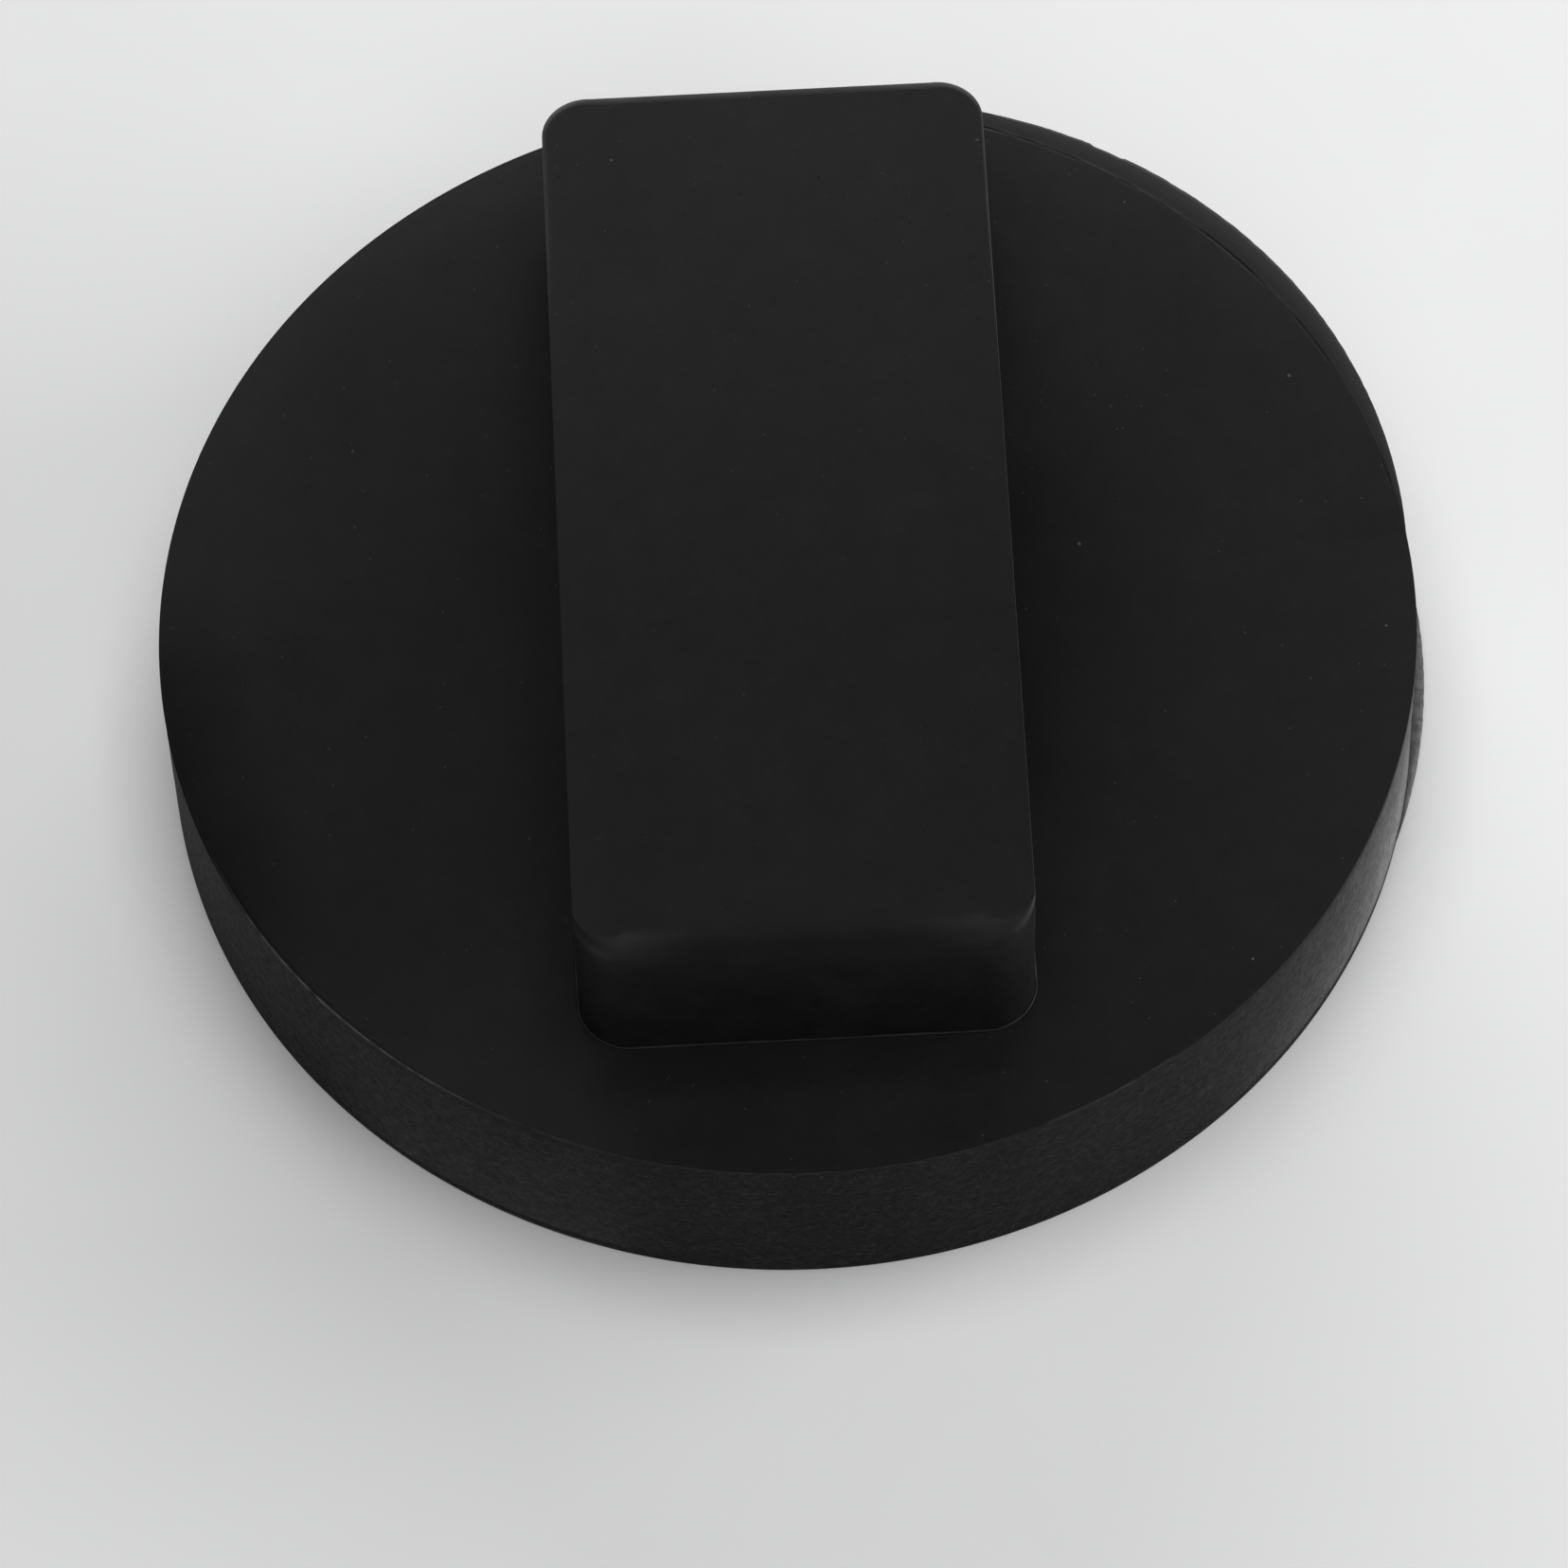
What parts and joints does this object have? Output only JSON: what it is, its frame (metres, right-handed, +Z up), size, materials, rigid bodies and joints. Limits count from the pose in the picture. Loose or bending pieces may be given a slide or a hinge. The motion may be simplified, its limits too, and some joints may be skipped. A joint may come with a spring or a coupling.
{
  "type": "jack pad",
  "caption": "Round rubber jack pad: a thick flat disc with a long rectangular locating block, its top rounded over at both ends, bonded into a shallow seat across the disc's upper face.",
  "frame": {"origin": "centre of the disc's flat underside", "axes": "+Z up out of the disc's upper face through the block's top, +Y along the block's long side, +X across it"},
  "size_m": [0.0711, 0.0706, 0.021],
  "materials": {
    "disc_rubber": "matte moulded face, rougher trimmed wall",
    "block_rubber": "matte moulded",
    "rubber_cement": "satin, dried cement"
  },
  "bodies": {
    "root": {"pad_disc": "disc_rubber", "raised_block": "block_rubber", "cement_film": "rubber_cement"}
  },
  "joints": []
}
